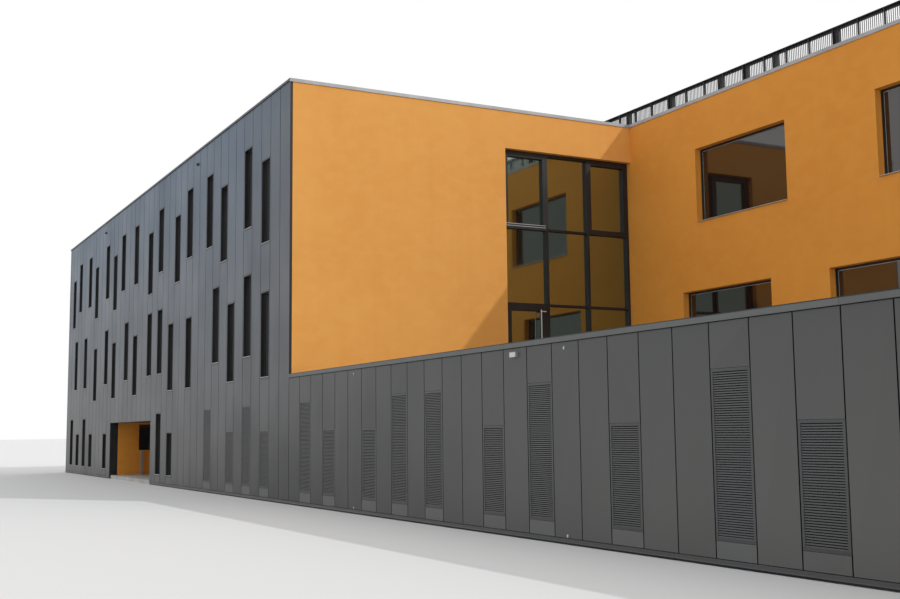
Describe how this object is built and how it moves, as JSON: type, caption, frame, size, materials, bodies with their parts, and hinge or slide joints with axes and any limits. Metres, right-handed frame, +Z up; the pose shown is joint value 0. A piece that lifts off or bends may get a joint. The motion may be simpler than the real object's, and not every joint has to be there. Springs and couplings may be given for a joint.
{
  "type": "factory building with a roof terrace, 1:2 scale model",
  "caption": "Flat-roofed factory building with panel cladding, slot windows, louvred vents, a recessed porch, a podium terrace and a rendered rear wing, at half size.",
  "frame": {"origin": "middle of the building's box in plan, on the ground", "axes": "+X runs along the front from left to right, +Y from the front to the rear, +Z up"},
  "size_m": [32.568, 11.865, 6.819],
  "materials": {
    "concrete": "matte cast concrete",
    "roofing": "matte roofing felt with fine grit",
    "paving": "matte concrete paving slabs",
    "dark_wall": "dark lining behind the panels",
    "orange_render": "fine matte render",
    "pale_metal": "light grey powder coat",
    "pale_aluminium": "satin natural aluminium",
    "dark_panel": "satin dark grey coated sheet",
    "pale_panel": "satin mid grey coated sheet",
    "dark_coping": "satin dark grey coated sheet",
    "louvre_metal": "satin dark grey powder coat",
    "black_frame": "satin black powder coat",
    "railing_steel": "satin dark grey paint",
    "bright_steel": "brushed stainless",
    "lamp_metal": "satin cast aluminium",
    "dark_glass": "grey tinted glazing"
  },
  "bodies": {
    "root": {"ground_slab": "concrete", "first_floor_slab": "concrete", "second_floor_front": "concrete", "second_floor_rear": "concrete", "roof_deck_front": "roofing", "roof_deck_rear": "roofing", "terrace_paving": "paving", "front_wall_left": "dark_wall", "front_wall_right": "dark_wall", "front_wall_over_porch": "dark_wall", "front_wall_upper": "dark_wall", "podium_front_wall": "dark_wall", "rear_wall": "dark_wall", "west_wall": "dark_wall", "east_podium_wall": "dark_wall", "east_wing_wall": "dark_wall", "terrace_side_wall": "orange_render", "terrace_screen_lintel": "orange_render", "terrace_back_wall": "orange_render", "porch_side_walls": "orange_render", "porch_back_wall": "orange_render", "porch_ceiling": "pale_metal", "porch_post": "pale_metal", "porch_glass": "dark_glass", "entrance_screen": "black_frame", "terrace_screen": "black_frame", "terrace_screen_sashes": "black_frame", "terrace_screen_glass": "dark_glass", "terrace_door": "black_frame", "terrace_door_glass": "dark_glass", "door_pull_bar": "bright_steel", "terrace_window_frames": "black_frame", "terrace_window_glass": "dark_glass", "terrace_window_sills": "pale_aluminium", "front_panels": "dark_panel", "podium_panels": "dark_panel", "rear_panels": "dark_panel", "end_panels": "dark_panel", "base_panels": "pale_panel", "front_window_surrounds": "dark_panel", "front_window_glass": "dark_glass", "front_window_sills": "pale_aluminium", "side_window_surrounds": "dark_panel", "side_window_glass": "dark_glass", "louvre_frames": "louvre_metal", "louvre_blades": "louvre_metal", "dark_coping": "dark_coping", "podium_coping": "dark_coping", "pale_coping": "pale_aluminium", "railing_posts": "black_frame", "railing_handrail": "black_frame", "railing_frame": "railing_steel", "roof_spouts": "dark_coping", "wall_lamp": "lamp_metal"}
  },
  "joints": []
}
